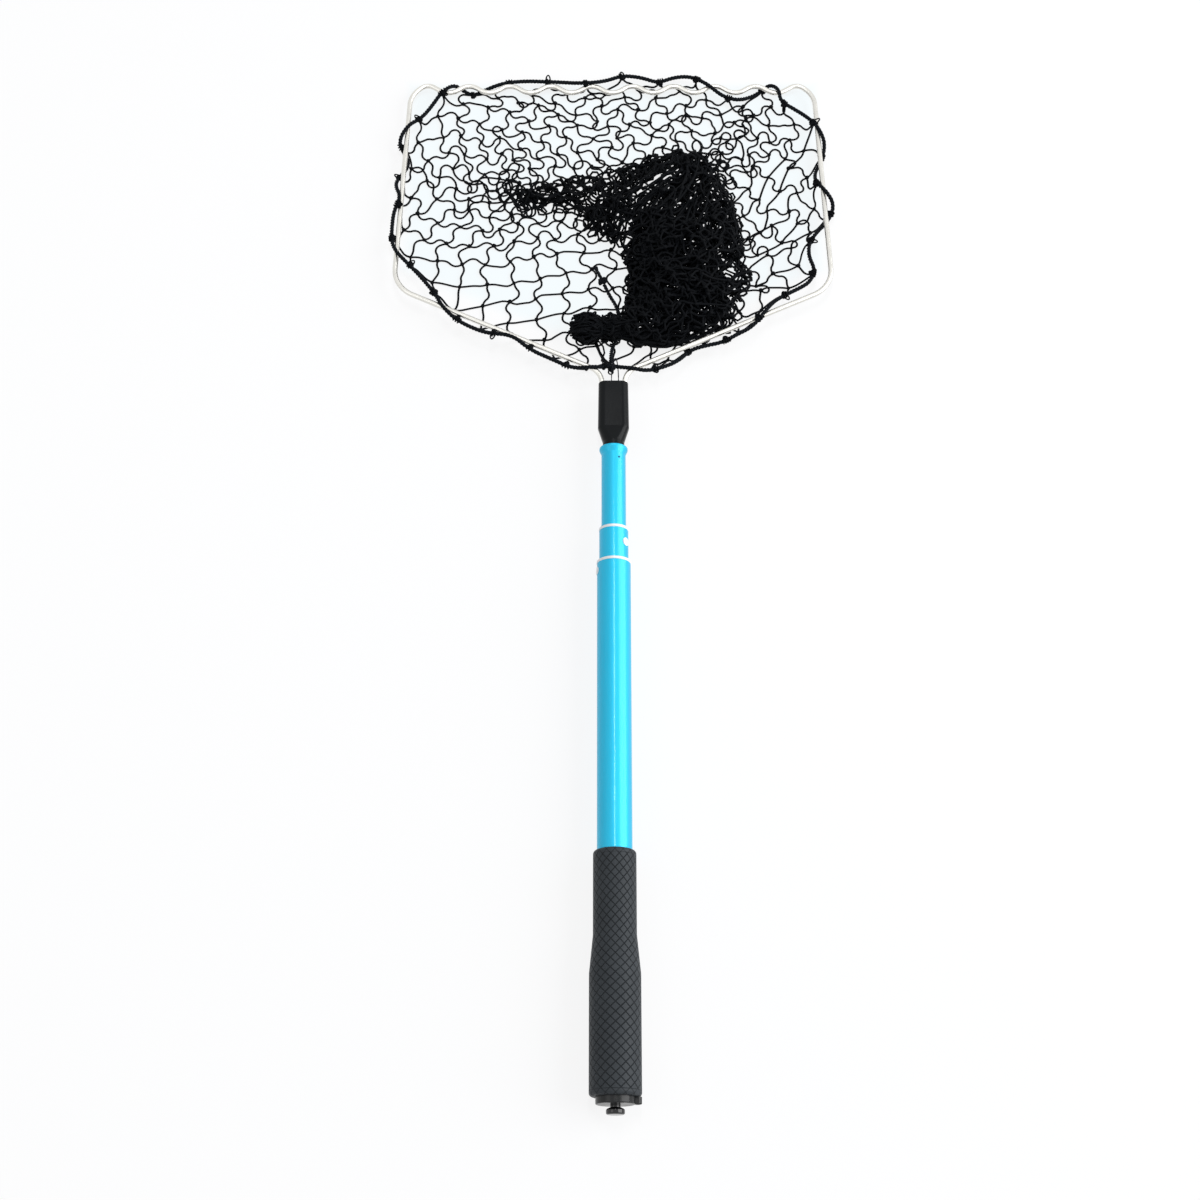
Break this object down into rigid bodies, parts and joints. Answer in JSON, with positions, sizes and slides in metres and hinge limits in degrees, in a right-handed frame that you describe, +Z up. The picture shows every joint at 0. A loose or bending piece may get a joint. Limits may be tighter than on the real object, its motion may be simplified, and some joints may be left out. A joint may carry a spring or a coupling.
{
  "type": "landing net",
  "caption": "Landing net on a telescopic pole that twists to lock: a wire hoop with a crimped front edge carries a roped, knotted net bag. Shown collapsed and lying down.",
  "frame": {"origin": "on the ground, under the middle of the whole net as it lies collapsed", "axes": "+Z up, +Y along the pole from the butt to the hoop, +X across"},
  "size_m": [0.3588, 0.845, 0.0358],
  "materials": {
    "blue_anodised": "satin anodised",
    "white_plastic": "smooth",
    "grip_rubber": "embossed, matt",
    "black_plastic": "moulded",
    "gloss_black_plastic": "gloss",
    "neck_plastic": "satin",
    "stainless_wire": "bright drawn",
    "black_rope": "twisted strands",
    "black_twine": "knotted twine",
    "black_netting_mass": "knotted twine",
    "lock_plastic": "moulded",
    "cone_plastic": "moulded",
    "zinc_steel": "zinc plated"
  },
  "bodies": {
    "head": {"inner_tube": "blue_anodised", "inner_plug": "lock_plastic", "inner_stud": "zinc_steel", "inner_stop": "zinc_steel", "neck_socket": "neck_plastic", "neck_rivet": "white_plastic", "hoop_wire": "stainless_wire", "border_rope": "black_rope", "throat_knot": "black_rope", "neck_tie": "black_twine", "net_ties": "black_twine", "net_spread": "black_twine", "net_rim": "black_twine", "net_heap": "black_netting_mass", "bag_end": "black_netting_mass", "bag_end_tie": "black_twine", "rope_tail": "black_rope", "tail_knot": "black_rope"},
    "inner_lock": {"inner_expander": "lock_plastic"},
    "inner_lock_cone": {"inner_cone": "cone_plastic"},
    "middle": {"middle_tube": "blue_anodised", "middle_bushing": "white_plastic", "middle_plug": "lock_plastic", "middle_stud": "zinc_steel", "middle_stop": "zinc_steel"},
    "middle_lock": {"middle_expander": "lock_plastic"},
    "middle_lock_cone": {"middle_cone": "cone_plastic"},
    "handle": {"main_tube": "blue_anodised", "main_bushing": "white_plastic", "grip": "grip_rubber", "end_cap": "black_plastic", "hang_knob": "gloss_black_plastic"}
  },
  "joints": [
    {"name": "inner_twist", "type": "hinge", "parent": "head", "child": "inner_lock", "pos_m": [0, -0.2936, 0.0179], "axis": [0, 1, 0], "range_deg": [0, 270]},
    {"name": "inner_extend", "type": "slide", "parent": "inner_lock", "child": "middle", "axis": [0, -1, 0], "range_m": [0, 0.269]},
    {"name": "inner_cone_travel", "type": "slide", "parent": "inner_lock", "child": "inner_lock_cone", "axis": [0, -1, 0], "range_m": [0, 0.002]},
    {"name": "middle_twist", "type": "hinge", "parent": "middle", "child": "middle_lock", "pos_m": [0, -0.3506, 0.0179], "axis": [0, 1, 0], "range_deg": [0, 270]},
    {"name": "middle_extend", "type": "slide", "parent": "middle_lock", "child": "handle", "axis": [0, -1, 0], "range_m": [0, 0.2995]},
    {"name": "middle_cone_travel", "type": "slide", "parent": "middle_lock", "child": "middle_lock_cone", "axis": [0, -1, 0], "range_m": [0, 0.002]}
  ],
  "couplings": [
    {"joint": "inner_cone_travel", "follows": "inner_twist", "m_per_rad": 0.00042},
    {"joint": "middle_cone_travel", "follows": "middle_twist", "m_per_rad": 0.00042}
  ]
}
